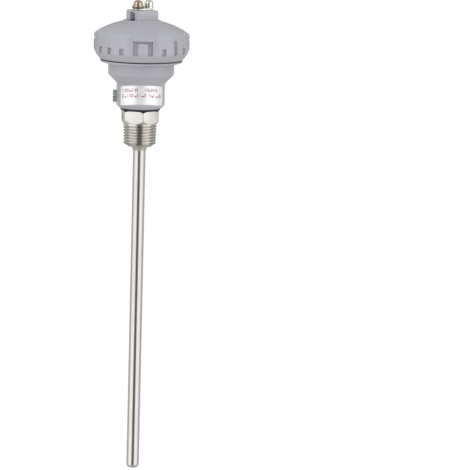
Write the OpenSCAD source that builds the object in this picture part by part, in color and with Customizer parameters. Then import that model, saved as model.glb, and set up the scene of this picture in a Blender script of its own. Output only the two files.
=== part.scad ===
// Resistance temperature probe with a screw-cap connection head.
// The origin is on the axis, in the sealing shoulder between the hexagon and the process thread.
// +Z points up through the head, and the sheath hangs down along -Z. Millimetres throughout.

/* [Cap] */
// Radius of the domed top's sphere
dome_r = 54.5; // [52:0.5:58]
// Height of the dome's crown above the shoulder
dome_top = 66.2; // [66:0.1:67]
// Height of the skirt, from the cap's rim to the dome
cap_h = 18.1; // [17.5:0.1:18.5]
// Radius of the skirt where it meets the dome
skirt_top_r = 28.5; // [28.3:0.1:28.8]
// Largest radius of the skirt
skirt_r = 29.7; // [29.4:0.1:30]
// Height of the skirt's largest radius above the rim
skirt_belly_h = 6.4; // [6:0.1:7]
// Radius of the round between the skirt's belly and its rim
skirt_curve_r = 6; // [5:0.5:6.5]
// Outer radius of the rim
rim_r = 26.3; // [26:0.1:26.6]
// Radius of the round between the dome and the skirt
shoulder_r = 4; // [3:0.5:4.5]
// Wall of the dome
dome_wall = 2.8; // [2.4:0.1:3.2]
// Wall of the skirt where it meets the dome
skirt_wall = 2.5; // [2.3:0.1:2.8]

/* [Cap grips] */
// Number of grip notches around the skirt, a multiple of four
notch_count = 20; // [20:20:20]
// Width of a notch
notch_w = 3; // [2.4:0.2:3.2]
// Radius of the notch floors
notch_floor_r = 27.8; // [27.6:0.1:28.2]
// Height of a short notch
notch_h = 4; // [3.4:0.2:4.6]
// Height of a tall notch
notch_tall_h = 9; // [8:0.2:9.4]
// Height of the notches' foot above the rim
notch_foot = 4.6; // [4.5:0.1:5.2]
// Height of the bar that joins the two notches of a grip pad
bar_h = 1.2; // [1:0.1:1.6]
// Outer radius of a grip pad
pad_r = 30.3; // [30:0.1:30.6]
// Angle that a grip pad spans
pad_angle = 29; // [27:1:31]
// Turn of the whole grip pattern about the axis
grip_turn = 3.3; // [-5:0.1:5]

/* [Cable boss] */
// Side of the square boss on the crown
boss_side = 15; // [14.5:0.1:16]
// Height of the boss's flat top above the shoulder
boss_top = 71.8; // [71.6:0.1:73]
// Radius of the boss's upright corners
boss_corner_r = 1; // [0.6:0.1:1.4]
// Chamfer around the boss's top
boss_chamfer = 0.5; // [0.3:0.1:0.8]
// Direction in which the cable channel opens, from +X
boss_turn = 216; // [210:1:222]
// Width of the cable channel
channel_w = 5.3; // [5:0.1:5.6]
// Thickness of the roof over the channel
roof_t = 1; // [0.9:0.1:1.2]
// Height of the channel's floor above the shoulder
channel_floor = 65.1; // [65:0.1:65.6]
// Radius of the round seat under the boss
boss_seat_r = 12.8; // [12.4:0.1:13.4]

/* [Cord clamp] */
// Distance of the front clamp screw from the axis, towards the channel's mouth
front_screw_at = 3.3; // [3:0.1:3.6]
// Distance of the rear clamp screw behind the axis
rear_screw_at = 4.9; // [4.6:0.1:5]
// Radius of both clamp screws' shanks
clamp_shank_r = 1.5; // [1.4:0.05:1.6]
// Radius of the front clamp screw's head
front_head_r = 3; // [2.8:0.1:3.2]
// Radius of the flange under the front clamp screw's head
front_flange_r = 3.8; // [3.6:0.1:4]
// Thickness of the flange under the front clamp screw's head
front_flange_t = 0.9; // [0.7:0.1:1.1]
// Radius of the rear clamp screw's head
rear_head_r = 2.8; // [2.6:0.1:3]
// Height of the clamp screws' heads
clamp_head_h = 4.5; // [4.2:0.1:4.8]
// Thickness of the clamp strap
strap_t = 1; // [0.8:0.1:1.2]
// Width of the clamp strap
strap_w = 5; // [4.6:0.1:5.6]
// Thickness of the clamp washers
washer_t = 1; // [0.8:0.1:1.2]
// Thickness of the pressure plate under the roof
pressure_t = 0.9; // [0.8:0.1:1]

/* [Housing] */
// Height of the gasket face above the shoulder
gasket_face = 40; // [39.5:0.1:40.5]
// Radius of the flange under the gasket
flange_r = 26; // [25.8:0.1:26.2]
// Thickness of the flange's edge
flange_t = 0.9; // [0.8:0.1:1.2]
// Radius of the threaded spigot that the cap screws onto
spigot_r = 23.5; // [23.3:0.1:23.7]
// Height of the spigot above the gasket face
spigot_h = 14; // [13.5:0.1:14.5]
// Length of spigot that the cap's thread grips
thread_grip = 8.7; // [8.4:0.1:9]
// Bore of the spigot, as a radius
spigot_bore_r = 20.6; // [20.4:0.1:20.8]
// Radius of the neck
neck_r = 20.9; // [20.7:0.1:21.1]
// Height of the neck's lower end above the shoulder
neck_foot = 31.3; // [31:0.1:31.6]
// Bore of the neck, as a radius
well_r = 17.9; // [17.7:0.1:18.1]
// Height of the well's floor above the shoulder
well_floor = 33; // [32.6:0.1:33.4]
// Radius of the lower barrel
barrel_r = 15.3; // [15:0.1:15.6]
// Height of the barrel's upper end above the shoulder
barrel_top = 25.5; // [25:0.1:26]
// Height of the housing's underside above the shoulder
housing_foot = 9.7; // [9.5:0.1:9.9]
// Height and depth of the chamfer at the barrel's foot
barrel_chamfer = 2.1; // [1.8:0.1:2.3]
// Radius of the passage for the wires
passage_r = 6; // [5.5:0.1:6.5]

/* [Label] */
// Thickness of the foil label
label_t = 0.15; // [0.1:0.05:0.2]
// Height of the label
label_h = 11.9; // [11:0.1:11.9]
// Height of the label's lower edge above the shoulder, at its middle
label_foot = 13.3; // [13.3:0.1:13.4]
// Angle that the label spans
label_angle = 118; // [110:1:124]
// Direction of the label's middle, from +X
label_turn = 276; // [270:1:280]
// Slope of the label's arched edges
label_arch = 11; // [0:1:11]

/* [Lock screw] */
// Height of the lock screw's axis above the shoulder
lock_z = 16.9; // [16.4:0.1:17.4]
// Radius of the lock screw's head
lock_head_r = 3.9; // [3.6:0.1:4]
// Distance of the spot face under the head from the axis
spot_face_at = 14.9; // [14.8:0.1:15]
// Distance of the outer face of the head from the axis
lock_head_at = 17.5; // [17.2:0.1:17.8]
// Radius of the lock screw's shank
lock_shank_r = 2; // [1.9:0.1:2.2]

/* [Process fitting] */
// Width across the hexagon's flats
hex_flats = 22; // [21.8:0.1:22.2]
// Height of the hexagon
hex_h = 8.5; // [8.3:0.1:8.7]
// Height and depth of the chamfers on the hexagon's corners
hex_chamfer = 1.7; // [1.2:0.1:1.7]
// Turn of the hexagon about the axis
hex_turn = 41; // [36:1:46]
// Crest diameter of the process thread in its gauge plane
thread_d = 20.955; // [20.5:0.005:21.2]
// Taper of the process thread, as diameter over length
thread_taper = 0.0625; // [0.05:0.0025:0.07]
// Length of the process thread from its small end to the gauge plane
gauge_l = 8.2; // [7.8:0.1:8.6]
// Length of the process thread from the gauge plane to the shoulder
thread_rest_l = 4.7; // [4:0.1:5]
// Length of the lead-in below the thread
thread_end_l = 1.9; // [1.5:0.1:2.2]
// Radius of the lead-in's end face
thread_end_r = 7.2; // [7:0.1:7.6]
// Radius of the stub that enters the housing
stub_r = 9.5; // [9.3:0.1:9.7]
// Length of the stub above the hexagon
stub_l = 13; // [12.5:0.1:13.5]
// Radius of the weld at its wide end
weld_r = 5; // [4.8:0.1:5.2]
// Length of the weld along the sheath
weld_l = 2.9; // [2.5:0.1:3.2]

/* [Sheath] */
// Radius of the sheath
sheath_r = 4; // [4:0.1:4]
// Depth of the sheath's tip below the shoulder
sheath_depth = 222.9; // [150:0.1:300]
// Wall of the sheath
sheath_wall = 0.75; // [0.6:0.05:0.9]
// Radius of the sheath's upper end, turned down where it enters the weld and the fitting
sheath_seat_r = 3.75; // [3.7:0.05:3.8]
// Thickness of the sheath's closed end
tip_t = 1.9; // [1.6:0.1:2.2]
// Radius of the round at the sheath's tip
tip_round_r = 2.6; // [2:0.1:3]
// Height of the sheath's open end above the shoulder
sheath_top = 25; // [24:0.1:26]

/* [Sensing core] */
// Length of the sensing element
element_l = 20; // [15:1:30]
// Radius of the sensing element
element_r = 1.4; // [1.2:0.1:1.5]
// Depth of filling between the element and the closed end
element_gap = 2; // [1.5:0.1:3]
// Radius of the bare leads
lead_r = 0.35; // [0.3:0.05:0.4]
// Distance of the leads from the axis
lead_at = 1.6; // [1.5:0.1:1.7]
// Length of the potting at the sheath's open end
potting_l = 5; // [4.5:0.1:6]
// Radius of the insulated wires in the head
wire_r = 0.6; // [0.5:0.05:0.65]

/* [Terminal block] */
// Radius of the ceramic block
block_r = 17.5; // [17.3:0.1:17.6]
// Thickness of the ceramic block
block_h = 8; // [7.5:0.1:8.5]
// Height of the barriers between the terminals
barrier_h = 3; // [2.5:0.1:3.5]
// Thickness of a barrier
barrier_t = 1.2; // [1:0.1:1.4]
// Distance between neighbouring terminals
terminal_pitch = 8.2; // [8:0.1:8.4]
// Width of a terminal plate
plate_w = 6.4; // [6:0.1:6.6]
// Length of a terminal plate
plate_l = 10; // [9:0.1:10.5]
// Thickness of a terminal plate
plate_t = 1; // [0.8:0.1:1.2]
// Radius of the shanks of the terminal and block screws
small_shank_r = 1.5; // [1.4:0.05:1.6]
// Distance of each block screw from the middle plane
block_screw_x = 12.5; // [12.2:0.1:12.8]
// Distance of the block screws behind the axis
block_screw_y = 4; // [3.6:0.1:4.4]

/* [Fits] */
// Radial clearance of turning and sliding fits
running = 0.05; // [0.02:0.01:0.08]
// Radial clearance of pieces that are set and stay put
seated = 0.03; // [0.02:0.01:0.05]
// Radial clearance of screws in plain holes
loose = 0.1; // [0.08:0.01:0.1]

/* [Hidden] */
$fn = 96;

// Long enough to cut through anything it meets
through = 60;
arc_steps = 12;

dome_centre = dome_top - dome_r;
gasket_t = 0.8;
rim_z = gasket_face + gasket_t;
belly_z = rim_z + skirt_belly_h;
skirt_top_z = rim_z + cap_h;
cap_bore_r = spigot_r + running;
relief_z = rim_z + thread_grip;
relief_r = skirt_top_r - skirt_wall;
belly_arc_end = 38;
pad_round = 0.6;
pad_foot_z = belly_z - 2;
pad_full_z = belly_z + 0.8;
pad_shoulder_z = skirt_top_z - 2.9;
pad_root_r = relief_r + 1;
bar_floor_r = notch_floor_r + 0.7;
boss_sink = 3;
boss_seat_h = 1.1;
boss_seat_taper = 1.4;
boss_seat_sink = 0.2;

strap_z = boss_top;
washer_z = strap_z + strap_t;
clamp_head_z = washer_z + washer_t;
roof_z = boss_top - roof_t;
rear_screw_depth = 4.8;
dimple_h = 0.4;
pressure_l = 6;
pressure_w = channel_w - 0.4;

thread_l = gauge_l + thread_rest_l;
thread_small_r = (thread_d - gauge_l * thread_taper) / 2;
thread_large_r = (thread_d + thread_rest_l * thread_taper) / 2;
thread_end_z = -(thread_l + thread_end_l);
thread_end_step = 0.4;
weld_foot_z = thread_end_z - weld_l;
weld_foot_w = 0.15;
hex_corner_r = hex_flats / sqrt(3);
stub_top = hex_h + stub_l;
socket_top = stub_top + 0.5;
sheath_bore_r = sheath_r - sheath_wall;
sheath_floor = tip_t - sheath_depth;
core_r = sheath_bore_r - seated;
core_top = sheath_top - potting_l;
element_z = sheath_floor + element_gap;
lead_joint_z = core_top + 2;
lead_angles = [210, 90, 330];

block_top = well_floor + block_h;
plate_top = block_top + plate_t;
plate_y = -6;
terminal_screw_y = -7.6;
small_head_r = 2.7;
small_head_h = 2;
small_screw_l = 6;
wire_hole_r = 2.6;
wire_hole_y = 3;

cast_grey = [0.66, 0.67, 0.70];
nickel = [0.88, 0.86, 0.83];
steel = [0.80, 0.79, 0.77];
brass = [0.80, 0.62, 0.38];
black_rubber = [0.10, 0.10, 0.11];

// ---- Shapes that several pieces share ----

// Points on an arc about [r, z], from one angle to another
function arc(centre, radius, from, to) = [
    for (i = [0 : arc_steps])
        let (a = from + (to - from) * i / arc_steps)
            [centre[0] + radius * cos(a), centre[1] + radius * sin(a)]
];

// Height of the dome's outer face at a distance from the axis, thinned by a wall
function dome_z(r, wall = 0) = dome_centre + sqrt(pow(dome_r - wall, 2) - r * r);

// Where a terminal stands across the block
function terminal_x(i) = (i - 2) * terminal_pitch;

// A plain ring
module ring(outer, inner, height) {
    difference() {
        cylinder(h = height, r = outer);
        translate([0, 0, -1]) cylinder(h = height + 2, r = inner);
    }
}

// A square with round corners, centred
module round_square(side, corner) {
    union() {
        square([side, side - 2 * corner], center = true);
        square([side - 2 * corner, side], center = true);
        for (x = [-1, 1], y = [-1, 1])
            translate([x, y] * (side / 2 - corner)) circle(r = corner, $fn = 32);
    }
}

// A pan-head screw that points down, with its head's underside at z = 0
module pan_screw(head_r, head_h, shank_r, shank_l, slot_w) {
    edge_h = head_h * 0.4;
    crown_h = head_h - edge_h;
    crown = [for (i = [0 : arc_steps])
        let (a = 90 * i / arc_steps) [head_r * cos(a), edge_h + crown_h * sin(a)]];
    difference() {
        union() {
            rotate_extrude() polygon(concat([[0, 0], [head_r, 0]], crown));
            translate([0, 0, -shank_l]) cylinder(h = shank_l + 0.5, r = shank_r, $fn = 48);
        }
        for (turn = [20, 110])
            rotate(turn)
                translate([-head_r * 0.62, -slot_w / 2, head_h * 0.5])
                    cube([head_r * 1.24, slot_w, head_h]);
    }
}

// A point on the smooth curve through a list of points, where t counts the points
function on_curve(points, t) =
    let (
        last = len(points) - 1,
        i = min(floor(t), last - 1),
        u = t - i,
        a = points[max(i - 1, 0)],
        b = points[i],
        c = points[i + 1],
        d = points[min(i + 2, last)]
    )
    (2 * b + (c - a) * u + (2 * a - 5 * b + 4 * c - d) * pow(u, 2)
        + (3 * b - a - 3 * c + d) * pow(u, 3)) / 2;

// A round wire through a list of points, none of whose stretches runs along X
module wire(points, radius) {
    sides = 10;
    steps = 3;
    ring_count = steps * (len(points) - 1) + 1;
    path = [for (i = [0 : ring_count - 1]) on_curve(points, i / steps)];
    rings = [for (i = [0 : ring_count - 1])
        let (
            run = path[min(i + 1, ring_count - 1)] - path[max(i - 1, 0)],
            side = cross(run, [1, 0, 0]) / norm(cross(run, [1, 0, 0])),
            up = cross(side, run) / norm(run)
        )
        for (k = [0 : sides - 1])
            path[i] + radius * (side * cos(360 * k / sides) + up * sin(360 * k / sides))
    ];
    walls = [for (i = [0 : ring_count - 2], k = [0 : sides - 1])
        let (next = (k + 1) % sides)
            [sides * i + k, sides * i + next, sides * (i + 1) + next, sides * (i + 1) + k]
    ];
    ends = [
        [for (k = [sides - 1 : -1 : 0]) k],
        [for (k = [0 : sides - 1]) sides * (ring_count - 1) + k]
    ];
    polyhedron(rings, concat(walls, ends), convexity = 6);
}

// ---- Cap ----

// Half section of the cap's outside, from the crown to the rim
function cap_outline() =
    let (
        round_from = acos(skirt_top_r / dome_r) + 2,
        round_at = [dome_r * cos(round_from), dome_centre + dome_r * sin(round_from)],
        round_centre = round_at - shoulder_r * [cos(round_from), sin(round_from)],
        belly_centre = [skirt_r - skirt_curve_r, belly_z]
    )
    concat(
        arc([0, dome_centre], dome_r, 90, round_from),
        arc(round_centre, shoulder_r, round_from, 6),
        arc(belly_centre, skirt_curve_r, 0, -belly_arc_end),
        [[rim_r, rim_z]]
    );

// The hollow inside the cap: its thread's bore, a wider relief and the dome
module cap_hollow() {
    dome_from = acos(relief_r / (dome_r - dome_wall));
    rotate_extrude() polygon(concat(
        [
            [0, rim_z - 1], [cap_bore_r, rim_z - 1], [cap_bore_r, relief_z],
            [relief_r, relief_z + relief_r - cap_bore_r]
        ],
        arc([0, dome_centre], dome_r - dome_wall, dome_from, 90)
    ));
}

// One raised grip pad, centred on +X
module grip_pad() {
    rotate(-pad_angle / 2)
        rotate_extrude(angle = pad_angle) polygon([
            [pad_root_r, pad_foot_z],
            [skirt_r - pad_round, pad_foot_z],
            [pad_r, pad_full_z],
            [pad_r, pad_shoulder_z],
            [pad_r - pad_round, pad_shoulder_z + 1.1],
            [pad_root_r, pad_shoulder_z + 2.1]
        ]);
}

// One grip notch, centred on +X
module notch(height) {
    translate([notch_floor_r, -notch_w / 2, rim_z + notch_foot]) cube([5, notch_w, height]);
}

// The bar that joins a pad's two tall notches over its middle
module notch_bar() {
    reach = 180 / notch_count;
    rotate(-reach)
        rotate_extrude(angle = 2 * reach)
            translate([bar_floor_r, rim_z + notch_foot + notch_tall_h - bar_h])
                square([5, bar_h]);
}

// All grip notches: a tall pair on each pad, and two tall ones midway between pads
module grips() {
    pitch = 360 / notch_count;
    for (i = [0 : notch_count - 1]) {
        in_quarter = i % (notch_count / 4);
        beside_pad = in_quarter == 0 || in_quarter == notch_count / 4 - 1;
        midway = in_quarter == (notch_count / 4 - 1) / 2 && i % (notch_count / 2) >= notch_count / 4;
        rotate((i + 0.5) * pitch)
            notch(beside_pad || midway ? notch_tall_h : notch_h);
    }
    for (quarter = [0 : 90 : 270])
        rotate(quarter) notch_bar();
}

// The square boss with its chamfered top, without its holes
module boss() {
    half = boss_side / 2;
    difference() {
        translate([0, 0, dome_top - boss_sink])
            linear_extrude(height = boss_top - dome_top + boss_sink)
                round_square(boss_side, boss_corner_r);
        for (side = [0 : 90 : 270])
            rotate(side)
                translate([half - boss_chamfer, 0, boss_top])
                    rotate([0, -45, 0])
                        translate([0, -half - 1, -boss_side])
                            cube([boss_side, boss_side + 2, 2 * boss_side]);
    }
}

// The cable channel through the boss, its way down into the cap, and the screw holes
module boss_holes() {
    translate([-channel_w / 2, -channel_w / 2, channel_floor])
        cube([boss_side, channel_w, roof_z - channel_floor]);
    translate([0, 0, channel_floor + 0.5 - through])
        cylinder(h = through, r = channel_w / 2);
    translate([front_screw_at, 0, roof_z - 1])
        cylinder(h = roof_t + 2, r = clamp_shank_r + running);
    translate([-rear_screw_at, 0, boss_top - rear_screw_depth])
        cylinder(h = rear_screw_depth + 1, r = clamp_shank_r + running);
}

module cap() {
    color(cast_grey)
    difference() {
        union() {
            rotate_extrude() polygon(concat([[0, rim_z]], cap_outline()));
            rotate(grip_turn)
                for (quarter = [0 : 90 : 270])
                    rotate(quarter) grip_pad();
            translate([0, 0, dome_z(boss_seat_r) - boss_seat_sink])
                cylinder(h = boss_seat_h, r1 = boss_seat_r, r2 = boss_seat_r - boss_seat_taper);
            rotate(boss_turn) boss();
        }
        cap_hollow();
        rotate(grip_turn) grips();
        rotate(boss_turn) boss_holes();
    }
}

module cap_gasket() {
    color(black_rubber)
        translate([0, 0, gasket_face]) ring(rim_r - 0.6, spigot_r + 0.3, gasket_t);
}

// ---- Cord clamp on the cap ----

module clamp_strap() {
    color(nickel)
    rotate(boss_turn)
        difference() {
            union() {
                translate([-rear_screw_at, -strap_w / 2, strap_z])
                    cube([front_screw_at + rear_screw_at, strap_w, strap_t]);
                for (x = [-rear_screw_at, front_screw_at])
                    translate([x, 0, strap_z]) cylinder(h = strap_t, r = strap_w / 2);
            }
            for (x = [-rear_screw_at, front_screw_at])
                translate([x, 0, strap_z - 1])
                    cylinder(h = strap_t + 2, r = clamp_shank_r + loose);
        }
}

module pressure_plate() {
    color(steel)
    rotate(boss_turn)
        difference() {
            translate([front_screw_at - pressure_l / 2, -pressure_w / 2, roof_z - pressure_t])
                cube([pressure_l, pressure_w, pressure_t]);
            translate([front_screw_at, 0, roof_z - dimple_h])
                cylinder(h = 1, r = clamp_shank_r + loose);
        }
}

module clamp_screw_front() {
    color(brass)
    rotate(boss_turn)
        translate([front_screw_at, 0, clamp_head_z])
            union() {
                pan_screw(front_head_r, clamp_head_h, clamp_shank_r,
                    clamp_head_z - roof_z + dimple_h, 1);
                cylinder(h = front_flange_t, r = front_flange_r);
            }
}

module clamp_screw_rear() {
    color(nickel)
    rotate(boss_turn)
        translate([-rear_screw_at, 0, clamp_head_z])
            pan_screw(rear_head_r, clamp_head_h, clamp_shank_r,
                clamp_head_z - boss_top + rear_screw_depth - 0.3, 0.9);
}

module clamp_washer_front() {
    color([0.22, 0.20, 0.18])
    rotate(boss_turn)
        translate([front_screw_at, 0, washer_z])
            ring(front_flange_r, clamp_shank_r + loose, washer_t);
}

module clamp_washer_rear() {
    color(nickel)
    rotate(boss_turn)
        translate([-rear_screw_at, 0, washer_z])
            ring(rear_head_r + 0.1, clamp_shank_r + loose, washer_t);
}

// ---- Housing ----

module housing() {
    neck_slope_z = gasket_face - flange_t - (flange_r - neck_r) * 0.3;
    color(cast_grey)
    difference() {
        rotate_extrude() polygon([
            [0, housing_foot],
            [barrel_r - barrel_chamfer, housing_foot],
            [barrel_r, housing_foot + barrel_chamfer],
            [barrel_r, barrel_top],
            [neck_r, neck_foot],
            [neck_r, neck_slope_z],
            [flange_r, gasket_face - flange_t],
            [flange_r, gasket_face],
            [spigot_r, gasket_face],
            [spigot_r, gasket_face + spigot_h - 0.8],
            [spigot_r - 0.8, gasket_face + spigot_h],
            [0, gasket_face + spigot_h]
        ]);
        translate([0, 0, gasket_face]) cylinder(h = through, r = spigot_bore_r);
        translate([0, 0, well_floor]) cylinder(h = through, r = well_r);
        cylinder(h = through, r = passage_r);
        cylinder(h = socket_top, r = stub_r + seated);
        for (x = [-block_screw_x, block_screw_x])
            translate([x, block_screw_y, well_floor - small_screw_l])
                cylinder(h = through, r = small_shank_r + seated);
        translate([0, 0, lock_z]) rotate([0, -90, 0]) {
            cylinder(h = through, r = lock_shank_r + running);
            translate([0, 0, spot_face_at]) cylinder(h = through, r = lock_head_r + 0.3);
        }
    }
}

module label() {
    // Both edges follow a plane that leans about the label's own middle
    color([0.93, 0.93, 0.94])
    rotate(label_turn)
        intersection() {
            rotate(-label_angle / 2)
                rotate_extrude(angle = label_angle)
                    translate([barrel_r + seated, housing_foot])
                        square([label_t, barrel_top - housing_foot]);
            translate([barrel_r, 0, label_foot])
                rotate([0, -label_arch, 0])
                    translate([-through, -through / 2, 0]) cube([2 * through, through, label_h]);
        }
}

module lock_screw() {
    head_h = lock_head_at - spot_face_at;
    head_chamfer = 0.4;
    slot_w = 1;
    slot_depth = 1.2;
    color([0.52, 0.53, 0.55])
    translate([0, 0, lock_z])
        rotate([0, -90, 0])
            difference() {
                union() {
                    translate([0, 0, stub_r + 0.1])
                        cylinder(h = spot_face_at - stub_r, r = lock_shank_r);
                    translate([0, 0, spot_face_at]) cylinder(h = head_h - head_chamfer, r = lock_head_r);
                    translate([0, 0, lock_head_at - head_chamfer])
                        cylinder(h = head_chamfer, r1 = lock_head_r, r2 = lock_head_r - head_chamfer);
                }
                translate([-through / 2, -slot_w / 2, lock_head_at - slot_depth])
                    cube([through, slot_w, 2]);
            }
}

// ---- Process fitting and sheath ----

module fitting_seal() {
    color(black_rubber)
        translate([0, 0, hex_h])
            ring(barrel_r - barrel_chamfer - 0.6, stub_r + seated, housing_foot - hex_h);
}

// Turned body that rounds the hexagon's corners at both ends, and stands clear of them between
module hex_chamfer_body() {
    flat_r = hex_corner_r - hex_chamfer;
    clear_h = hex_chamfer * 1.2;
    clear_r = flat_r + clear_h;
    rotate_extrude() polygon([
        [0, 0], [flat_r, 0], [clear_r, clear_h],
        [clear_r, hex_h - clear_h], [flat_r, hex_h], [0, hex_h]
    ]);
}

module process_fitting() {
    color(nickel)
    difference() {
        union() {
            intersection() {
                rotate(hex_turn) cylinder(h = hex_h, r = hex_corner_r, $fn = 6);
                hex_chamfer_body();
            }
            cylinder(h = stub_top, r = stub_r);
            translate([0, 0, -thread_l])
                cylinder(h = thread_l, r1 = thread_small_r, r2 = thread_large_r);
            translate([0, 0, thread_end_z])
                cylinder(h = thread_end_l, r1 = thread_end_r, r2 = thread_small_r - thread_end_step);
        }
        translate([0, 0, -through / 2]) cylinder(h = through, r = sheath_seat_r + seated);
    }
}

module weld_bead() {
    color(steel)
    difference() {
        translate([0, 0, weld_foot_z])
            cylinder(h = weld_l, r1 = sheath_r + weld_foot_w, r2 = weld_r);
        translate([0, 0, thread_end_z - through / 2])
            cylinder(h = through, r = sheath_seat_r + seated);
    }
}

module sheath() {
    round_centre = [sheath_r - tip_round_r, tip_round_r - sheath_depth];
    color(steel)
    rotate_extrude() polygon(concat(
        [[0, -sheath_depth]],
        arc(round_centre, tip_round_r, -90, 0),
        [
            [sheath_r, weld_foot_z], [sheath_seat_r, weld_foot_z],
            [sheath_seat_r, sheath_top], [sheath_bore_r, sheath_top],
            [sheath_bore_r, sheath_floor], [0, sheath_floor]
        ]
    ));
}

// ---- Sensing core ----

// Three holes or leads around the axis
module three_leads(bottom, top, radius) {
    for (a = lead_angles)
        rotate(a) translate([lead_at, 0, bottom]) cylinder(h = top - bottom, r = radius, $fn = 24);
}

module insulating_core() {
    color([0.90, 0.89, 0.84])
    difference() {
        translate([0, 0, sheath_floor]) cylinder(h = core_top - sheath_floor, r = core_r);
        translate([0, 0, element_z]) cylinder(h = element_l, r = element_r + seated);
        three_leads(element_z + element_l - 3, core_top + 1, lead_r + seated);
    }
}

module sensing_element() {
    color([0.95, 0.94, 0.90])
    difference() {
        translate([0, 0, element_z]) cylinder(h = element_l, r = element_r);
        three_leads(element_z + element_l - 3, element_z + element_l + 1, lead_r + seated);
    }
}

module element_leads() {
    color(nickel) three_leads(element_z + element_l - 3, lead_joint_z, lead_r);
}

module end_seal() {
    color([0.16, 0.15, 0.15])
    difference() {
        translate([0, 0, core_top]) cylinder(h = potting_l, r = core_r);
        three_leads(core_top - 1, lead_joint_z + 0.1, lead_r + seated);
        three_leads(lead_joint_z, sheath_top + 1, wire_r + seated);
    }
}

module head_wires() {
    rise_z = sheath_top + 2;
    colours = [[0.75, 0.12, 0.10], [0.90, 0.90, 0.88], [0.75, 0.12, 0.10]];
    // Each wire rises through the block beside its neighbour, and arches over to its own plate
    for (i = [1 : 3]) {
        a = lead_angles[i - 1];
        foot = [lead_at * cos(a), lead_at * sin(a), lead_joint_z];
        across = (i - 2) * (2 * wire_r + 0.3);
        color(colours[i - 1])
            wire([
                foot,
                [foot[0], foot[1], sheath_top],
                [foot[0], foot[1], rise_z],
                [across, wire_hole_y, well_floor],
                [across, wire_hole_y, plate_top + 2.2],
                [terminal_x(i) * 0.6, wire_hole_y - 0.4, plate_top + 3.6],
                [terminal_x(i), wire_hole_y - 1.6, plate_top + 2.6],
                [terminal_x(i), plate_y + plate_l / 2 - 1.2, plate_top + wire_r * 0.98]
            ], wire_r);
    }
}

// ---- Terminal block ----

module terminal_block() {
    barrier_l = 12;
    color([0.94, 0.92, 0.87])
    difference() {
        union() {
            translate([0, 0, well_floor]) cylinder(h = block_h, r = block_r);
            for (i = [0.5 : 1 : 3.5])
                translate([terminal_x(i) - barrier_t / 2, plate_y - barrier_l / 2, block_top - 1])
                    cube([barrier_t, barrier_l, barrier_h + 1]);
        }
        translate([0, wire_hole_y, 0]) cylinder(h = through, r = wire_hole_r);
        for (i = [1 : 3])
            translate([terminal_x(i), terminal_screw_y, block_top - small_screw_l])
                cylinder(h = through, r = small_shank_r + running);
        for (x = [-block_screw_x, block_screw_x])
            translate([x, block_screw_y, 0]) cylinder(h = through, r = small_shank_r + loose);
    }
}

module terminal_plate(i) {
    color(brass)
    translate([terminal_x(i), plate_y, block_top])
        difference() {
            translate([-plate_w / 2, -plate_l / 2, 0]) cube([plate_w, plate_l, plate_t]);
            translate([0, terminal_screw_y - plate_y, -1])
                cylinder(h = plate_t + 2, r = small_shank_r + running);
        }
}

module terminal_screw(i) {
    color(nickel)
        translate([terminal_x(i), terminal_screw_y, plate_top])
            pan_screw(small_head_r, small_head_h, small_shank_r, plate_t + small_screw_l - 0.5, 0.8);
}

module block_screws() {
    color(steel)
        for (x = [-block_screw_x, block_screw_x])
            translate([x, block_screw_y, block_top])
                pan_screw(small_head_r, small_head_h, small_shank_r, block_h + small_screw_l - 0.5, 0.8);
}

cap();
cap_gasket();
clamp_strap();
pressure_plate();
clamp_screw_front();
clamp_screw_rear();
clamp_washer_front();
clamp_washer_rear();
housing();
label();
lock_screw();
fitting_seal();
process_fitting();
weld_bead();
sheath();
insulating_core();
sensing_element();
element_leads();
end_seal();
head_wires();
terminal_block();
block_screws();
for (i = [1 : 3]) {
    terminal_plate(i);
    terminal_screw(i);
}
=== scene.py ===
"""Dresses the resistance temperature probe: fine meshes, finishes, the studio and the camera.

Sizes are in millimetres and angles in degrees, in the object's own frame: +Z runs up the probe's
axis, and the origin lies in the shoulder under the hexagon. A name that ends in R is a radius. Meshes
are scaled to metres when they are made.
"""
import random
from math import acos, cos, degrees, pi, radians, sin, sqrt, tan

import bmesh
import bpy
from mathutils import Matrix, Quaternion, Vector


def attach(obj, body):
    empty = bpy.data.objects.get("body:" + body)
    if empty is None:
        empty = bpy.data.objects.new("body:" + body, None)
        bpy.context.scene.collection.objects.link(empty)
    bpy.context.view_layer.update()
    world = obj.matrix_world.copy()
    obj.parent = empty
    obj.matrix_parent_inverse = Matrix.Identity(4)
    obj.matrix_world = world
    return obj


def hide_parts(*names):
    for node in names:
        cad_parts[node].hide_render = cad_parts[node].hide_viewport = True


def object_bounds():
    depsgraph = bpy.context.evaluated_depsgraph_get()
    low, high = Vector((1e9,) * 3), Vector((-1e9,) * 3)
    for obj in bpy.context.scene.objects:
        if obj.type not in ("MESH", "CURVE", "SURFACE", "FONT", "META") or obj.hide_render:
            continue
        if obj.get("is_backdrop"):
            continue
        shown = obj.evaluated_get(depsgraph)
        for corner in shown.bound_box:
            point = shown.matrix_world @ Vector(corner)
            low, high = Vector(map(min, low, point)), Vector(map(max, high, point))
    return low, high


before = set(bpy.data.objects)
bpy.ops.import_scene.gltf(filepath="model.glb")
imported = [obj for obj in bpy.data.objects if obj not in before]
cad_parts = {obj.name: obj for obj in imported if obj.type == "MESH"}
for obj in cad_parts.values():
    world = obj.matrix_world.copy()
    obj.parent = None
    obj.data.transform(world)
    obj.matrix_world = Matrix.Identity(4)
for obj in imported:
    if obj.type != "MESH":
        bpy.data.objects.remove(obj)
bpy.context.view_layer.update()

MM = 0.001

# ---- Sizes that several pieces share ----

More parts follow.
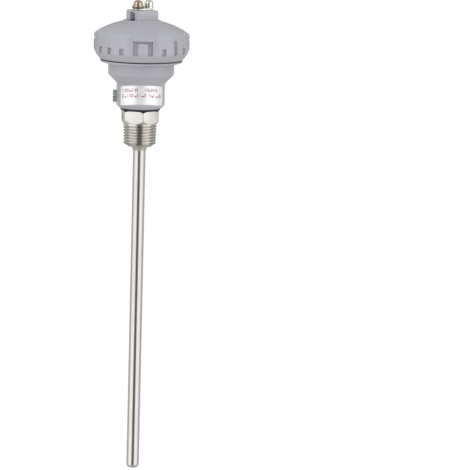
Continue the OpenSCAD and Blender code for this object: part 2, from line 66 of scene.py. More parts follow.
FIT = 0.03  # clearance on the radius of a piece that is set in another
SCREW_R = 1.5
SCREW_PITCH = 0.5
GASKET_FACE = 40.0
RIM_Z = 40.8
SPIGOT_R = 23.5
CAP_THREAD_PITCH = 2.0
CAP_THREAD_DEPTH = 0.9
BOSS_TURN = 216.0
BOSS_TOP = 71.8
ROOF_Z = 70.8
FRONT_SCREW_AT = 3.3
REAR_SCREW_AT = -4.9
STRAP_T = 1.0
WASHER_T = 1.0
BARREL_R = 15.3
HOUSING_FOOT = 9.7
HEX_H = 8.5
STUB_R = 9.5
STUB_BORE_R = STUB_R + FIT
WELL_FLOOR = 33.0
BLOCK_SCREW_X = 12.5
BLOCK_SCREW_Y = 4.0


# ---- Mesh tools ----

def arc(centre, radius, start, end, steps=12):
    """Points on an arc about centre, in the plane of (radius, height); angles in degrees."""
    return [
        (centre[0] + radius * cos(radians(start + (end - start) * i / steps)),
         centre[1] + radius * sin(radians(start + (end - start) * i / steps)))
        for i in range(steps + 1)
    ]


def rounded_outline(corners, steps=5):
    """A closed outline from (radius, height, round) corners, each rounded by its own radius."""
    points = []
    count = len(corners)
    for i, (x, y, round_r) in enumerate(corners):
        here = Vector((x, y))
        before = Vector(corners[i - 1][:2]) - here
        after = Vector(corners[(i + 1) % count][:2]) - here
        if round_r <= 0:
            points.append((x, y))
            continue
        half = before.angle(after) / 2
        slope = max(abs(tan(half)), 1e-6)
        reach = min(round_r / slope, before.length / 2.05, after.length / 2.05)
        start = here + before.normalized() * reach
        end = here + after.normalized() * reach
        for k in range(steps + 1):
            t = k / steps
            points.append(tuple((1 - t) ** 2 * start + 2 * t * (1 - t) * here + t ** 2 * end))
    return points


def full_turn(columns):
    """Evenly spaced angles around the axis, in degrees, with both 0 and 360."""
    return [360 * i / columns for i in range(columns + 1)]


def around(radius, angle, z):
    """The point at a radius and an angle in degrees from the axis, at a height."""
    return (radius * cos(radians(angle)), radius * sin(radians(angle)), z)


def turned(outline, angles):
    """Rows of points that turn an outline of (radius, height) about the axis."""
    return [[around(r, a, z) for a in angles] for r, z in outline]


def flat_ring(inner, outer, low, high, rounds, columns, steps=5):
    """Rows of a flat ring. rounds gives the round of its inner and of its outer edges."""
    at_bore, at_rim = rounds
    outline = rounded_outline([
        (inner, low, at_bore), (outer, low, at_rim), (outer, high, at_rim), (inner, high, at_bore),
    ], steps)
    return turned(outline + outline[:1], full_turn(columns))


def moved(rows, place):
    """Rows of points carried by a matrix."""
    return [[tuple(place @ Vector(p)) for p in row] for row in rows]


def smooth_step(low, high, value):
    """0 below low, 1 above high and a smooth rise between."""
    t = min(max((value - low) / (high - low), 0), 1)
    return t * t * (3 - 2 * t)


# One pitch of a thread: the share of the pitch, and the share of the depth that stands there
THREAD_FORM = [
    (0.00, 1.00), (0.13, 0.99), (0.19, 0.90), (0.38, 0.18), (0.44, 0.03),
    (0.50, 0.00), (0.56, 0.03), (0.62, 0.18), (0.81, 0.90), (0.87, 0.99),
]


def thread_rows(crest_at, depth_at, pitch, low, high, angles):
    """Rows of a right-hand thread from low to high, where depth_at gives no depth at either end."""
    rows = []
    turns = int((high - low) / pitch) + 2
    for turn in range(-1, turns):
        for share, rise in THREAD_FORM:
            row = []
            for a in angles:
                z = min(max(low + pitch * (turn + share + a / 360), low), high)
                row.append(around(crest_at(z) - depth_at(z) * (1 - rise), a, z))
            rows.append(row)
    return rows


def skinned(skins):
    """A bmesh from skins. Each is a list of rows of points, and points that meet are joined."""
    bm = bmesh.new()
    for rows in skins:
        grid = [[bm.verts.new(Vector(p) * MM) for p in row] for row in rows]
        for above, below in zip(grid, grid[1:]):
            for k in range(len(above) - 1):
                bm.faces.new((above[k], above[k + 1], below[k + 1], below[k]))
    bmesh.ops.remove_doubles(bm, verts=bm.verts, dist=0.0005 * MM)
    bmesh.ops.dissolve_degenerate(bm, edges=bm.edges, dist=0.0002 * MM)
    bmesh.ops.recalc_face_normals(bm, faces=bm.faces)
    return bm


def piece(name, skins, finish, body, sharp=35):
    """An object from skins, finished and set on its body."""
    return finished_piece(name, skinned(skins), finish, body, sharp)


def finished_piece(name, bm, finish, body, sharp=35):
    """An object from a bmesh, smooth but for edges sharper than an angle, that rides on a body."""
    mesh = bpy.data.meshes.new(name)
    bm.to_mesh(mesh)
    bm.free()
    obj = bpy.data.objects.new(name, mesh)
    bpy.context.scene.collection.objects.link(obj)
    if finish:
        obj.data.materials.append(finish)
    smooth(obj, sharp)
    if body:
        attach(obj, body)
    return obj


def smooth(obj, sharp=35):
    """Shades an object smooth, but for edges sharper than an angle."""
    for face in obj.data.polygons:
        face.use_smooth = True
    obj.data.set_sharp_from_angle(angle=radians(sharp))


def box_mesh(size, centre, turn=0.0):
    """A bmesh box in millimetres, turned about Z and then put at its centre."""
    bm = bmesh.new()
    place = Matrix.Rotation(radians(turn), 4, "Z") @ Matrix.Translation(Vector(centre) * MM)
    bmesh.ops.create_cube(bm, size=1, matrix=place @ Matrix.Diagonal(Vector(size) * MM).to_4x4())
    return bm


def in_metres(place):
    """A place given in millimetres, for a mesh in metres."""
    shift = place.copy()
    shift.translation = shift.translation * MM
    return shift


def rod_mesh(radius, low, high, place=Matrix.Identity(4), columns=64):
    """A bmesh cylinder along Z from low to high, then moved by place (in millimetres)."""
    bm = bmesh.new()
    bmesh.ops.create_cone(
        bm, cap_ends=True, segments=columns, radius1=radius * MM, radius2=radius * MM,
        depth=(high - low) * MM, matrix=Matrix.Translation((0, 0, (low + high) / 2 * MM)),
    )
    bmesh.ops.transform(bm, matrix=in_metres(place), verts=bm.verts)
    return bm


def bake(obj):
    """Applies an object's modifiers."""
    graph = bpy.context.evaluated_depsgraph_get()
    mesh = bpy.data.meshes.new_from_object(obj.evaluated_get(graph))
    obj.modifiers.clear()
    obj.data = mesh
    return obj


def cut(obj, *bms, how="DIFFERENCE"):
    """Cuts shapes from an object, or keeps what it shares with them (INTERSECT)."""
    for bm in bms:
        other = finished_piece("tool", bm, None, None)
        step = obj.modifiers.new("cut", "BOOLEAN")
        step.operation = how
        step.solver = "EXACT"
        step.object = other
        bake(obj)
        bpy.data.objects.remove(other)
    return obj


def join(name, first, second):
    """One object, in the first one's finish, that holds the meshes of two."""
    finish = first.data.materials[0]
    bm = bmesh.new()
    for obj in (first, second):
        bm.from_mesh(obj.data)
        bpy.data.objects.remove(obj)
    return finished_piece(name, bm, finish, None)


def round_edges(obj, width, angle=30, segments=2, sharp=35):
    """Rounds an object's edges that are sharper than an angle."""
    step = obj.modifiers.new("round", "BEVEL")
    step.width = width * MM
    step.segments = segments
    step.limit_method = "ANGLE"
    step.angle_limit = radians(angle)
    bake(obj)
    smooth(obj, sharp)
    return obj


def keep_apart(obj):
    """Nudges the ends of short edges by a micrometre or two where their x + y + z agree.

    Pointiness takes such points for one if they lie within 0.35 mm, which spoils the mask of rubbed
    edges along the diagonals of X and Y.
    """
    points = obj.data.vertices
    for _ in range(5):
        for edge in obj.data.edges:
            first, second = (points[i] for i in edge.vertices)
            gap = second.co - first.co
            if gap.length < 0.4 * MM and abs(sum(gap)) < 0.0008 * MM:
                second.co += Vector((1, 1, 1)) * (0.0005 + 0.0001 * (second.index % 3)) * MM


def softened(node, width, finish, body):
    """A copy of a plain CAD node with its flat faces merged and its edges rounded."""
    bm = bmesh.new()
    bm.from_mesh(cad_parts[node].data)
    bmesh.ops.remove_doubles(bm, verts=bm.verts, dist=0.001 * MM)
    bmesh.ops.dissolve_limit(bm, angle_limit=radians(1), verts=bm.verts, edges=bm.edges)
    obj = finished_piece("fine_" + node, bm, finish, body)
    round_edges(obj, width)
    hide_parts(node)


# ---- Effects that several finishes use, as shader node groups ----

def node_group(name, inputs, outputs):
    """An empty shader node group with named number sockets, and its input and output nodes."""
    group = bpy.data.node_groups.new(name, "ShaderNodeTree")
    for label, value in inputs.items():
        socket = group.interface.new_socket(label, in_out="INPUT", socket_type="NodeSocketFloat")
        socket.default_value = value
    for label in outputs:
        group.interface.new_socket(label, in_out="OUTPUT", socket_type="NodeSocketFloat")
    return group, group.nodes.new("NodeGroupInput"), group.nodes.new("NodeGroupOutput")


def add(tree, kind, links=None, **settings):
    """A node with its settings and its incoming links or values, by socket name or number."""
    node = tree.nodes.new(kind)
    for key, value in settings.items():
        setattr(node, key, value)
    for socket, value in (links or {}).items():
        if isinstance(value, bpy.types.NodeSocket):
            tree.links.new(value, node.inputs[socket])
        else:
            node.inputs[socket].default_value = value
    return node


def mapped(tree, value, low, high, to_low=0.0, to_high=1.0):
    """A value moved from one range to another and held there."""
    return add(
        tree, "ShaderNodeMapRange",
        {"Value": value, "From Min": low, "From Max": high, "To Min": to_low, "To Max": to_high},
        interpolation_type="SMOOTHSTEP",
    ).outputs["Result"]


def maths(tree, operation, a, b=0.0):
    """One arithmetic step."""
    return add(tree, "ShaderNodeMath", {0: a, 1: b}, operation=operation).outputs[0]


def between(tree, share, first, second):
    """A value between two values, by a share from 0 to 1."""
    return add(tree, "ShaderNodeMix", {"Factor": share, 2: first, 3: second}).outputs[0]


def noise(tree, place, scale, detail, roughness=0.5):
    """A cloudy value from 0 to 1. Detail and roughness break it up more finely."""
    links = {"Vector": place, "Scale": scale, "Detail": detail, "Roughness": roughness}
    return add(tree, "ShaderNodeTexNoise", links).outputs["Fac"]


def make_cast_skin():
    """The skin of a casting or moulding: fine orange peel, broad soft hollows and a cloudy tone."""
    inputs = {"Grain Size": 900.0, "Depth": 0.5}
    group, source, sink = node_group("cast_skin", inputs, ("Height", "Tone"))
    place = add(group, "ShaderNodeTexCoord").outputs["Object"]
    peel = noise(group, place, source.outputs["Grain Size"], 3.0, 0.6)
    peel = maths(group, "MULTIPLY", peel, source.outputs["Depth"])
    hollows = noise(group, place, 160.0, 2.0)
    group.links.new(maths(group, "ADD", peel, hollows), sink.inputs["Height"])
    group.links.new(noise(group, place, 45.0, 4.0), sink.inputs["Tone"])
    return group


def make_edge_rub():
    """A mask of rubbed edges: raised edges, broken up by noise."""
    inputs = {"Amount": 0.5, "Break Up": 400.0}
    group, source, sink = node_group("edge_rub", inputs, ("Mask",))
    place = add(group, "ShaderNodeTexCoord").outputs["Object"]
    raised = add(group, "ShaderNodeNewGeometry").outputs["Pointiness"]
    broken = noise(group, place, source.outputs["Break Up"], 5.0, 0.65)
    edge = mapped(group, raised, 0.53, 0.62)
    mask = maths(group, "MULTIPLY", edge, mapped(group, broken, 0.42, 0.62))
    group.links.new(maths(group, "MULTIPLY", mask, source.outputs["Amount"]), sink.inputs["Mask"])
    return group


def make_turned_marks():
    """Fine rings that a lathe or a polishing belt leaves around Z, as a height and a streak mask."""
    inputs = {"Rings": 4000.0, "Stretch": 30.0}
    group, source, sink = node_group("turned_marks", inputs, ("Height", "Streak"))
    place = add(group, "ShaderNodeTexCoord").outputs["Object"]
    parts = add(group, "ShaderNodeSeparateXYZ", {"Vector": place}).outputs
    flat = add(group, "ShaderNodeCombineXYZ", {
        axis: maths(group, "MULTIPLY", parts[axis], source.outputs[stretch])
        for axis, stretch in (("X", "Stretch"), ("Y", "Stretch"), ("Z", "Rings"))
    })
    rings = noise(group, flat.outputs["Vector"], 1.0, 4.0, 0.7)
    group.links.new(rings, sink.inputs["Height"])
    patches = mapped(group, noise(group, place, 120.0, 3.0), 0.2, 0.8, 0.6, 1.2)
    group.links.new(maths(group, "MULTIPLY", rings, patches), sink.inputs["Streak"])
    return group


CAST_SKIN = make_cast_skin()
EDGE_RUB = make_edge_rub()
TURNED_MARKS = make_turned_marks()


# ---- Finishes ----

def new_finish(name, **sockets):
    """A material with its Principled shader's plain values. Returns the material, tree and shader."""
    material = bpy.data.materials.new(name)
    material.use_nodes = True
    tree = material.node_tree
    shader = tree.nodes["Principled BSDF"]
    for label, value in sockets.items():
        shader.inputs[label.replace("_", " ")].default_value = value
    return material, tree, shader


def effect(tree, group, **values):
    """The outputs of a shared effect, placed in a material with its own values."""
    links = {label.replace("_", " "): value for label, value in values.items()}
    return add(tree, "ShaderNodeGroup", links, node_tree=group).outputs


def dress(tree, shader, colour, roughness):
    """Links a colour and a roughness to a material's shader."""
    tree.links.new(colour, shader.inputs["Base Color"])
    tree.links.new(roughness, shader.inputs["Roughness"])


def bump(tree, shader, height, strength, distance):
    """Raises a surface by a height, where distance is in millimetres at full strength."""
    links = {"Height": height, "Strength": strength, "Distance": distance * MM}
    node = add(tree, "ShaderNodeBump", links)
    tree.links.new(node.outputs["Normal"], shader.inputs["Normal"])


def blend(tree, mask, first, second):
    """A colour between two colours, by a mask."""
    node = add(tree, "ShaderNodeMix", data_type="RGBA")
    tree.links.new(mask, node.inputs["Factor"])
    for socket, colour in ((node.inputs[6], first), (node.inputs[7], second)):
        if isinstance(colour, bpy.types.NodeSocket):
            tree.links.new(colour, socket)
        else:
            socket.default_value = (*colour, 1.0)
    return node.outputs[2]


def painted_casting(name, dark, light, roughness=0.42, rub=0.25):
    """Satin paint over a casting, cloudy between two tones and rubbed pale at its edges."""
    material, tree, shader = new_finish(name, Coat_Weight=0.12, Coat_Roughness=0.35)
    skin = effect(tree, CAST_SKIN, Grain_Size=1100.0, Depth=0.6)
    edges = effect(tree, EDGE_RUB, Amount=rub, Break_Up=500.0)
    tone = blend(tree, mapped(tree, skin["Tone"], 0.35, 0.65), dark, light)
    pale = tuple(min(c * 1.5 + 0.08, 1) for c in light)
    rough = mapped(tree, skin["Tone"], 0.3, 0.7, roughness - 0.05, roughness + 0.07)
    dress(tree, shader, blend(tree, edges["Mask"], tone, pale), rough)
    bump(tree, shader, skin["Height"], 0.25, 0.05)
    return material


def turned_metal(name, colour, roughness, rings, marks=0.2, shade=0.82):
    """Bare or plated metal with fine turning marks, darker and rougher along some of them."""
    material, tree, shader = new_finish(name, Metallic=1.0)
    lathe = effect(tree, TURNED_MARKS, Rings=rings, Stretch=25.0)
    streak = lathe["Streak"]
    tone = blend(tree, mapped(tree, streak, 0.3, 0.7), tuple(c * shade for c in colour), colour)
    dress(tree, shader, tone, mapped(tree, streak, 0.3, 0.7, roughness + 0.05, roughness - 0.02))
    bump(tree, shader, lathe["Height"], marks, 0.01)
    return material


def moulded(name, dark, light, grain, depth, roughness, relief, **sockets):
    """A matt grained skin, cloudy between two tones: rubber, ceramic, wire insulation or foil.

    roughness gives its two ends, and relief the strength and height of the grain.
    """
    material, tree, shader = new_finish(name, **sockets)
    skin = effect(tree, CAST_SKIN, Grain_Size=grain, Depth=depth)
    tone = skin["Tone"]
    dress(tree, shader, blend(tree, tone, dark, light), mapped(tree, tone, 0.3, 0.7, *roughness))
    bump(tree, shader, skin["Height"], *relief)
    return material


def print_finish():
    """Red screen print, thinner in places."""
    material, tree, shader = new_finish("label_print_red")
    worn = noise(tree, add(tree, "ShaderNodeTexCoord").outputs["Object"], 1500.0, 3.0)
    ink = blend(tree, mapped(tree, worn, 0.45, 0.75), (0.36, 0.040, 0.055), (0.56, 0.18, 0.20))
    dress(tree, shader, ink, mapped(tree, worn, 0.3, 0.7, 0.35, 0.5))
    return material


def weld_finish():
    """Ground weld metal with patches of straw heat tint."""
    material, tree, shader = new_finish("weld_metal", Metallic=1.0)
    lathe = effect(tree, TURNED_MARKS, Rings=1500.0, Stretch=300.0)
    cloud = noise(tree, add(tree, "ShaderNodeTexCoord").outputs["Object"], 700.0, 3.0)
    tint = blend(tree, mapped(tree, cloud, 0.45, 0.7), (0.56, 0.53, 0.49), (0.50, 0.41, 0.30))
    dress(tree, shader, tint, mapped(tree, lathe["Streak"], 0.3, 0.7, 0.38, 0.26))
    bump(tree, shader, lathe["Height"], 0.4, 0.03)
    return material


CASTING = painted_casting("head_casting_paint", (0.445, 0.450, 0.485), (0.485, 0.490, 0.525))
# Nearly black steel for the front spring washer: painted shadow for the dark gap under the brass
# screw's head
SHADOW_DARK_STEEL = painted_casting("dark_steel_painted_shadow", (0.060, 0.061, 0.066), (0.095, 0.096, 0.102),
                             roughness=0.38, rub=0.5)
# The lock screw's grey: the casting's grey darkened as painted shade
SHADED_CASTING_GREY = painted_casting("casting_grey_painted_shade", (0.27, 0.275, 0.29), (0.34, 0.345, 0.36), roughness=0.45, rub=0.0)
POTTING = painted_casting("potting_resin", (0.016, 0.015, 0.015), (0.030, 0.028, 0.028),
                          roughness=0.30, rub=0.0)
PLATED = turned_metal("nickel_plate", (0.80, 0.79, 0.76), 0.16, rings=3000.0, marks=0.15)
BRASS = turned_metal("turned_brass", (0.68, 0.53, 0.39), 0.20, rings=3000.0, shade=0.66)
FITTING_STEEL = turned_metal("turned_stainless", (0.66, 0.635, 0.59), 0.17, rings=5200.0,
                             marks=0.08, shade=0.93)
SHEATH_STEEL = turned_metal("polished_tube", (0.63, 0.605, 0.57), 0.10, rings=6500.0,
                            marks=0.04, shade=0.95)
WELD = weld_finish()
PRINT = print_finish()
# Silver-white foil, part metal, with soft dimples
LABEL = moulded("label_film", (0.91, 0.91, 0.92), (0.96, 0.96, 0.965), grain=700.0, depth=0.3,
                roughness=(0.28, 0.40), relief=(0.08, 0.03), Metallic=0.3, Coat_Weight=0.3,
                Coat_Roughness=0.2)
# Black rubber for the cap gasket; on the seal under the housing the same black is painted shadow for
# the dark band above the hexagon
BLACK_RUBBER_AND_SHADOW = moulded("black_rubber_and_painted_shadow", (0.010, 0.010, 0.011), (0.030, 0.030, 0.032), grain=2600.0,
                 depth=0.8, roughness=(0.55, 0.75), relief=(0.3, 0.02))
CERAMIC = moulded("ceramic_body", (0.72, 0.69, 0.61), (0.84, 0.82, 0.75), grain=3200.0,
                  depth=0.9, roughness=(0.45, 0.6), relief=(0.2, 0.02))
WIRE_SKIN = {"grain": 2000.0, "depth": 0.4, "roughness": (0.35, 0.5), "relief": (0.1, 0.01)}
RED_WIRE = moulded("red_insulation", (0.42, 0.03, 0.025), (0.55, 0.05, 0.04), **WIRE_SKIN)
WHITE_WIRE = moulded("white_insulation", (0.70, 0.69, 0.66), (0.80, 0.79, 0.76), **WIRE_SKIN)


# ---- Cap ----

GRIP_TURN = 3.3
DOME_R = 54.5
DOME_TOP = 66.2
DOME_CENTRE = DOME_TOP - DOME_R
DOME_WALL = 2.8
DOME_EDGE_R = 28.5
SEAT_R = 12.8
SHOULDER_R = 4.0
SHOULDER_FROM = degrees(acos(DOME_EDGE_R / DOME_R)) + 2
SHOULDER_AT = (
    (DOME_R - SHOULDER_R) * cos(radians(SHOULDER_FROM)),
    DOME_CENTRE + (DOME_R - SHOULDER_R) * sin(radians(SHOULDER_FROM)),
)
SKIRT_R = 29.7
SKIRT_TOP_Z = 58.9
DRAFT_TURN = 6.0  # where the drafted skirt leaves the shoulder's round
RIM_R = 26.3
RELIEF_R = 26.0
BELLY_Z = 47.2
BELLY_ROUND = 6.0
BELLY_AT = 23.7  # radius at which the belly's round has its centre
BELLY_TURN = 38.0  # how far that round runs down
NOTCH_COUNT = 20
NOTCH_PITCH = 360 / NOTCH_COUNT
NOTCH_HALF = 3.0
NOTCH_FLOOR_R = 27.8
NOTCH_FOOT = RIM_Z + 4.6
NOTCH_TOP = NOTCH_FOOT + 4.0
NOTCH_TALL_TOP = NOTCH_FOOT + 9.0
BAR_FOOT = NOTCH_TALL_TOP - 1.2
BAR_FLOOR_R = 28.5
PAD_HALF = 14.5
PAD_R = 30.3
PAD_FOOT_R = 29.1
PAD_TOP_DROP = 2.6
PAD_SIDE = 0.7
SOFT_ANGLE = 0.45  # the sides of notches and bars soften over this angle, and their ends
SOFT_HEIGHT = 0.22  # over this height
BOSS_SIDE = 15.0
CHANNEL_W = 5.3
CHANNEL_FLOOR = 65.1


def skirt_profile(z):
    """Radius of the plain skirt at a height, from the rim up to the shoulder's round."""
    curve_end = (BELLY_AT + BELLY_ROUND * cos(radians(BELLY_TURN)),
                 BELLY_Z - BELLY_ROUND * sin(radians(BELLY_TURN)))
    if z < curve_end[1]:
        share = (z - RIM_Z) / (curve_end[1] - RIM_Z)
        return RIM_R + (curve_end[0] - RIM_R) * share
    if z < BELLY_Z:
        return BELLY_AT + sqrt(BELLY_ROUND ** 2 - (BELLY_Z - z) ** 2)
    top_r = SHOULDER_AT[0] + SHOULDER_R * cos(radians(DRAFT_TURN))
    top_z = SHOULDER_AT[1] + SHOULDER_R * sin(radians(DRAFT_TURN))
    if z > top_z:
        return SHOULDER_AT[0] + sqrt(max(SHOULDER_R ** 2 - (z - SHOULDER_AT[1]) ** 2, 0))
    return SKIRT_R + (top_r - SKIRT_R) * (z - BELLY_Z) / (top_z - BELLY_Z)


def pad_profile(z):
    """Outer radius of a grip pad at a height, or nothing above and below it."""
    # The pad swells from its foot to its full radius, and falls back from its top to its end
    foot, full, top, end = BELLY_Z - 2, BELLY_Z + 0.8, SKIRT_TOP_Z - 2.9, SKIRT_TOP_Z - 0.6
    if z < foot or z > end:
        return 0
    if z < full:
        return PAD_FOOT_R + (PAD_R - PAD_FOOT_R) * sin(pi / 2 * (z - foot) / (full - foot))
    if z < top:
        return PAD_R
    return PAD_R - PAD_TOP_DROP * ((z - top) / (end - top)) ** 2


def from_pad(angle):
    """How far an angle is from the middle of the nearest grip pad, in degrees."""
    return abs((angle + 45) % 90 - 45)


def grip_masks(angle, z):
    """How far the skirt is cut back to a notch's floor and to a pad's bar at a place, from 0 to 1."""
    index = int(angle // NOTCH_PITCH) % NOTCH_COUNT
    off = abs(angle % NOTCH_PITCH - NOTCH_PITCH / 2)
    # Tall notches are the legs of each pad's window and the middle one of every other quarter
    in_quarter = index % 5
    tall = in_quarter in (0, 4) or (in_quarter == 2 and index % 10 >= 5)
    top = NOTCH_TALL_TOP if tall else NOTCH_TOP
    across = 1 - smooth_step(NOTCH_HALF - SOFT_ANGLE / 2, NOTCH_HALF + SOFT_ANGLE / 2, off)
    up = smooth_step(NOTCH_FOOT - SOFT_HEIGHT, NOTCH_FOOT + SOFT_HEIGHT, z)
    down = 1 - smooth_step(top - SOFT_HEIGHT, top + SOFT_HEIGHT, z)
    notch = across * up * down
    half = NOTCH_PITCH / 2
    bar_across = 1 - smooth_step(half - SOFT_ANGLE, half + SOFT_ANGLE, from_pad(angle))
    bar_up = smooth_step(BAR_FOOT - SOFT_HEIGHT, BAR_FOOT + SOFT_HEIGHT, z)
    return notch, bar_across * bar_up * down


def skirt_radius(angle, z):
    """Radius of the finished skirt with its pads and notches."""
    base = skirt_profile(z)
    on_pad = 1 - smooth_step(PAD_HALF - PAD_SIDE, PAD_HALF, from_pad(angle))
    raised = base + max(pad_profile(z) - base, 0) * on_pad
    notch, bar = grip_masks(angle, z)
    return min(raised + (min(floor, raised) - raised) * mask
               for floor, mask in ((NOTCH_FLOOR_R, notch), (BAR_FLOOR_R, bar)))


def skirt_angles():
    """Angles of the skirt's columns, closer together at the sides of each notch and pad."""
    angles = set()
    from_notch = (0, 1.0, 2.0, 2.6, 2.78, 2.9, 3.0, 3.1, 3.22, 3.4, 4.2, 5.2, 6.2, 7.3)
    for i in range(NOTCH_COUNT):
        middle = (i + 0.5) * NOTCH_PITCH
        for off in from_notch:
            angles.update(((middle - off) % 360, (middle + off) % 360))
        angles.add(i * NOTCH_PITCH)
    for pad in range(0, 360, 90):
        for inside in (PAD_SIDE, 0.5, 0.35, 0.2, 0):
            off = PAD_HALF - inside
            angles.update(((pad - off) % 360, (pad + off) % 360))
    return sorted(round(a, 3) for a in angles) + [360.0]


def skirt_heights():
    """Heights of the skirt's rows, closer together at the ends of each notch and pad."""
    heights = {RIM_Z + 0.15, RIM_Z + 1, RIM_Z + 2, 43.5, 44.2, 49.0, 50.0, 52.0, 53.0}
    for edge in (NOTCH_FOOT, NOTCH_TOP, NOTCH_TALL_TOP, BAR_FOOT):
        heights.update(edge + off for off in (-0.4, -0.22, -0.1, 0, 0.1, 0.22, 0.4))
    heights.update(BELLY_Z + off for off in (-2, -1.6, -1.2, 0, 0.8))
    pad_top = (2.9, 2.6, 2.3, 2.05, 1.8, 1.6, 1.4, 1.2, 1.0, 0.8, 0.6)
    heights.update(SKIRT_TOP_Z - off for off in pad_top)
    rows = []
    for z in sorted(heights, reverse=True):
        if not rows or rows[-1] - z > 0.05:
            rows.append(z)
    return rows


def dome_point(r, wall=0.0):
    """A point of the dome's outer face, or of its inner face under a wall."""
    return (r, DOME_CENTRE + sqrt((DOME_R - wall) ** 2 - r * r))


def cap():
    """The screw cap: dome, seat, skirt with grips, threaded bore, and the boss with its channel."""
    angles = skirt_angles()
    seat_foot = dome_point(SEAT_R)[1]
    seat_top = seat_foot + 0.9
    crown = [
        (0, DOME_TOP), dome_point(4), dome_point(7.5), (8.2, seat_top), (11.2, seat_top),
        (11.6, seat_foot + 0.8), (12.5, seat_foot + 0.1), (SEAT_R, seat_foot),
    ]
    dome = [dome_point(r) for r in (13.3, 14.5, 16, 17.5, 19, 20.5, 22, 23.5, 25, 26)]
    shoulder = arc(SHOULDER_AT, SHOULDER_R, SHOULDER_FROM, 46, 4)
    rows = turned(crown + dome + shoulder, angles)
    for z in skirt_heights():
        rows.append([around(skirt_radius(a, z), a, z) for a in angles])
    bore = SPIGOT_R + 0.05
    low, high = RIM_Z + 0.6, 49.4
    rows += turned([(26.1, RIM_Z), (bore + 0.5, RIM_Z), (bore, RIM_Z + 0.5), (bore, low)], angles)
    relief = [(bore, high), (bore, 49.5), (RELIEF_R, 51.95)]
    ceiling = [dome_point(r, DOME_WALL) for r in (RELIEF_R, 25.2, 24, 22, 20, 17, 14, 10, 5)]
    hollow = turned(relief + ceiling + [(0, DOME_TOP - DOME_WALL)], angles)

    def groove(z):
        return -CAP_THREAD_DEPTH * smooth_step(low, low + 0.8, z) * smooth_step(-high, -high + 0.8, -z)

    thread = thread_rows(lambda z: bore, groove, CAP_THREAD_PITCH, low, high, angles)
    obj = piece("fine_cap", [rows, thread, hollow], CASTING, None, 40)
    obj.data.transform(Matrix.Rotation(radians(GRIP_TURN), 4, "Z"))
    cut(obj, channel_mesh(), drop_mesh())
    obj = join("fine_cap", obj, boss_piece())
    smooth(obj, 38)
    keep_apart(obj)
    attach(obj, "cap")
    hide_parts("cap")


def channel_mesh():
    """The cable channel's space, from the mouth to over the axis."""
    height = ROOF_Z - CHANNEL_FLOOR
    reach = 14.0
    middle = ((reach - CHANNEL_W) / 2, 0, CHANNEL_FLOOR + height / 2)
    return box_mesh((reach, CHANNEL_W, height), middle, BOSS_TURN)


def drop_mesh():
    """The round way down from the channel into the cap."""
    return rod_mesh(CHANNEL_W / 2, 60, CHANNEL_FLOOR + 0.5)


def boss_piece():
    """The square boss with rounded corners, the channel's mouth and its two tapped holes."""
    foot = 64.6
    middle = (0, 0, (foot + BOSS_TOP) / 2)
    block = box_mesh((BOSS_SIDE, BOSS_SIDE, BOSS_TOP - foot), middle, BOSS_TURN)
    boss = finished_piece("boss", block, CASTING, None)
    round_edges(boss, 0.9, angle=60, segments=4)
    cut(boss, channel_mesh(), drop_mesh())
    hole_r = SCREW_R + 0.05
    for at, depth in ((FRONT_SCREW_AT, 3.0), (REAR_SCREW_AT, 4.8)):
        cut(boss, rod_mesh(hole_r, BOSS_TOP - depth, BOSS_TOP + 1, on_boss(at), 40))
    round_edges(boss, 0.12, angle=50, sharp=38)
    return boss


def on_boss(at, z=0.0):
    """The place on the boss at a distance along the channel, as a matrix in millimetres."""
    return Matrix.Rotation(radians(BOSS_TURN), 4, "Z") @ Matrix.Translation((at, 0, z))


def cap_gasket():
    """The flat ring under the cap's rim."""
    rows = flat_ring(23.8, 25.7, GASKET_FACE, RIM_Z, (0.2, 0.3), 160)
    obj = piece("fine_cap_gasket", [rows], BLACK_RUBBER_AND_SHADOW, "gasket", 60)
    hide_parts("cap_gasket")


# ---- Cord clamp ----

def pan_screw(name, place, head, shank_l, slot_w, finish, body, node=None, flange=None):
    """A cross-slotted pan-head screw that points down from place, with a threaded shank.

    The head is given as its radius and height. A flange, as its radius and thickness, widens its foot.
    """
    head_r, head_h = head
    edge_h = head_h * 0.4
    crown = [(head_r * cos(radians(a)), edge_h + (head_h - edge_h) * sin(radians(a)))
             for a in range(0, 90, 10)]
    foot = [(head_r - 0.15, 0), (head_r, 0.15)]
    if flange:
        flange_r, flange_t = flange
        foot = [
            (flange_r - 0.2, 0), (flange_r, 0.2), (flange_r, flange_t - 0.25),
            (flange_r - 0.08, flange_t - 0.08), (flange_r - 0.25, flange_t),
            (head_r + 0.1, flange_t), (head_r, flange_t + 0.1),
        ]
    angles = full_turn(48)
    outline = [(0, 0), (SCREW_R * 0.6, 0)] + foot + crown + [(0, head_h)]
    obj = piece(name, [turned(outline, angles)], finish, None, 50)
    for turn in (20, 110):
        cut(obj, box_mesh((head_r * 1.24, slot_w, head_h), (0, 0, head_h * 1.02), turn))
    round_edges(obj, 0.05 * head_h / 2, angle=40, sharp=50)

    end = -shank_l
    start, run_out = -0.4, end + 0.4

    def groove(z):
        return 0.12 * SCREW_R * smooth_step(run_out, run_out + 0.5, z) * smooth_step(0.4, 0.9, -z)

    neck = turned([(0, 0.1), (SCREW_R * 0.8, 0.1), (SCREW_R, -0.3), (SCREW_R, start)], angles)
    thread = thread_rows(lambda z: SCREW_R, groove, SCREW_PITCH, run_out, start, angles)
    tip = turned([(SCREW_R, run_out), (SCREW_R * 0.75, end), (0, end)], angles)
    obj = join(name, obj, piece(name + "_shank", [neck, thread, tip], finish, None, 50))
    smooth(obj, 50)
    obj.data.transform(in_metres(place))
    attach(obj, body)
    if node:
        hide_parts(node)
    return obj


